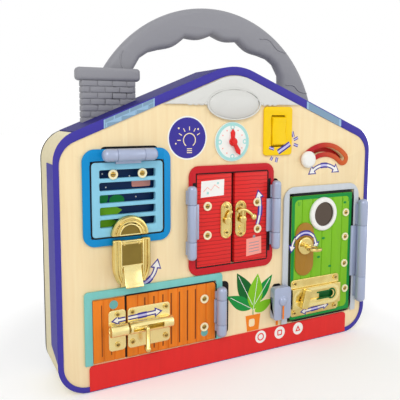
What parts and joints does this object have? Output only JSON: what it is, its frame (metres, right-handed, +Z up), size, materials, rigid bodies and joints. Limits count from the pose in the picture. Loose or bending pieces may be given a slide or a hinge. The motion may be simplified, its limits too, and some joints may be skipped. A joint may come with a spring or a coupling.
{
  "type": "busy board",
  "caption": "House-shaped wooden busy board with a carrying handle, hinged doors, bolts, a hook, a case latch, a key, a switch, a slider, a lamp and a clock.",
  "frame": {"origin": "middle of the flat bottom face", "axes": "+X to the right seen from the front, +Y to the back, +Z up"},
  "size_m": [0.35, 0.0831, 0.352],
  "materials": {
    "plywood": "satin",
    "back_wood": "satin",
    "edge_blue": "satin",
    "chimney_grey": "matte",
    "handle_grey": "satin",
    "steel": "satin",
    "cloud_grey": "satin",
    "clear_lens": "gloss",
    "circuit": "satin",
    "dial_white": "satin",
    "switch_yellow": "gloss",
    "switch_dark": "matte",
    "track_red": "satin",
    "frame_blue": "satin",
    "shutter_blue": "satin",
    "hinge_grey": "satin",
    "brass": "satin",
    "frame_red": "satin",
    "door_red": "satin",
    "frame_mist": "satin",
    "door_lime": "satin",
    "mirror_face": "mirror",
    "ring_white": "gloss",
    "panel_teal": "satin",
    "gate_orange": "satin",
    "strip_red": "satin",
    "picture": "matte",
    "copper_wire": "satin",
    "cell_wrap": "gloss",
    "box_black": "matte",
    "hand_red": "satin",
    "knob_white": "gloss",
    "lock_brown": "satin"
  },
  "bodies": {
    "board": {"case_ring": "plywood", "front_panel": "plywood", "picture_backer": "picture", "back_panel": "back_wood", "edge_trim": "edge_blue", "chimney": "chimney_grey", "chimney_cap": "chimney_grey", "handle": "handle_grey", "wood_screws": "steel", "lamp_panel": "cloud_grey", "lamp_lens": "clear_lens", "lamp_board": "circuit", "clock_dial": "dial_white", "switch_plate": "switch_yellow", "switch_body": "switch_dark", "arc_track": "track_red", "window_frame": "frame_blue", "shutter_hinge_fixed": "hinge_grey", "latch_base": "brass", "red_frame": "frame_red", "red_hinges_fixed": "hinge_grey", "green_frame": "frame_mist", "green_hinge_fixed": "hinge_grey", "bolt_keeper": "hinge_grey", "gate_panel": "panel_teal", "gate_post": "gate_orange", "gate_hinge_fixed": "hinge_grey", "barrel_keeper": "brass", "battery_box": "box_black", "battery_cover": "box_black", "batteries": "cell_wrap", "wires": "copper_wire", "base_strip": "strip_red"},
    "window_shutter": {"shutter": "shutter_blue", "shutter_hinge_leaf": "hinge_grey", "latch_catch": "brass"},
    "case_latch": {"latch_lever": "brass"},
    "left_door": {"red_door_left": "door_red", "red_hinge_leaf_left": "hinge_grey", "catch_plate": "brass"},
    "right_door": {"red_door_right": "door_red", "red_hinge_leaf_right": "hinge_grey", "hook_plate": "brass"},
    "hook": {"door_hook": "brass"},
    "tall_door": {"green_door": "door_lime", "green_hinge_leaf": "hinge_grey", "porthole_ring": "ring_white", "porthole_mirror": "mirror_face", "lock_plate": "lock_brown", "slide_plate": "brass"},
    "key": {"key_knob": "brass"},
    "flat_bolt": {"slide_bolt": "brass"},
    "yard_gate": {"orange_gate": "gate_orange", "gate_hinge_leaf": "hinge_grey", "barrel_body": "brass"},
    "round_bolt": {"barrel_bolt": "brass"},
    "rocker": {"switch_rocker": "switch_yellow"},
    "slider": {"slider_knob": "knob_white"},
    "long_hand": {"minute_hand": "hand_red"},
    "short_hand": {"hour_hand": "hand_red"}
  },
  "joints": [
    {"name": "shutter_hinge", "type": "hinge", "parent": "board", "child": "window_shutter", "pos_m": [-0.11, -0.0368, 0.21], "axis": [-1, 0, 0], "range_deg": [0, 120]},
    {"name": "latch_pivot", "type": "hinge", "parent": "board", "child": "case_latch", "pos_m": [-0.11, -0.0361, 0.133], "axis": [-1, 0, 0], "range_deg": [0, 100]},
    {"name": "left_door_hinge", "type": "hinge", "parent": "board", "child": "left_door", "pos_m": [-0.04975, -0.0358, 0.144], "axis": [0, 0, -1], "range_deg": [0, 120]},
    {"name": "right_door_hinge", "type": "hinge", "parent": "board", "child": "right_door", "pos_m": [0.04525, -0.0358, 0.144], "axis": [0, 0, 1], "range_deg": [0, 120]},
    {"name": "hook_pivot", "type": "hinge", "parent": "right_door", "child": "hook", "pos_m": [0.006, -0.0341, 0.143], "axis": [0, 1, 0], "range_deg": [0, 80]},
    {"name": "tall_door_hinge", "type": "hinge", "parent": "board", "child": "tall_door", "pos_m": [0.1615, -0.0368, 0.094], "axis": [0, 0, 1], "range_deg": [0, 120]},
    {"name": "key_turn", "type": "hinge", "parent": "tall_door", "child": "key", "pos_m": [0.086, -0.0305, 0.107], "axis": [0, 1, 0], "range_deg": [-90, 90]},
    {"name": "flat_bolt_slide", "type": "slide", "parent": "tall_door", "child": "flat_bolt", "axis": [1, 0, 0], "range_m": [-0.008, 0.034]},
    {"name": "gate_hinge", "type": "hinge", "parent": "board", "child": "yard_gate", "pos_m": [-0.0175, -0.0363, 0.054], "axis": [0, 0, 1], "range_deg": [0, 120]},
    {"name": "round_bolt_slide", "type": "slide", "parent": "yard_gate", "child": "round_bolt", "axis": [1, 0, 0], "range_m": [-0.01, 0.015]},
    {"name": "rocker_pivot", "type": "hinge", "parent": "board", "child": "rocker", "pos_m": [0.0497, -0.0255, 0.228], "axis": [-1, 0, 0], "range_deg": [0, 16]},
    {"name": "slider_turn", "type": "hinge", "parent": "board", "child": "slider", "pos_m": [0.112, -0.0285, 0.1725], "axis": [0, 1, 0], "range_deg": [0, 88]},
    {"name": "minute_turn", "type": "hinge", "parent": "board", "child": "long_hand", "pos_m": [-0.0035, -0.0285, 0.2185], "axis": [0, 1, 0], "continuous": true},
    {"name": "hour_turn", "type": "hinge", "parent": "board", "child": "short_hand", "pos_m": [-0.0035, -0.0285, 0.2185], "axis": [0, 1, 0], "continuous": true}
  ]
}
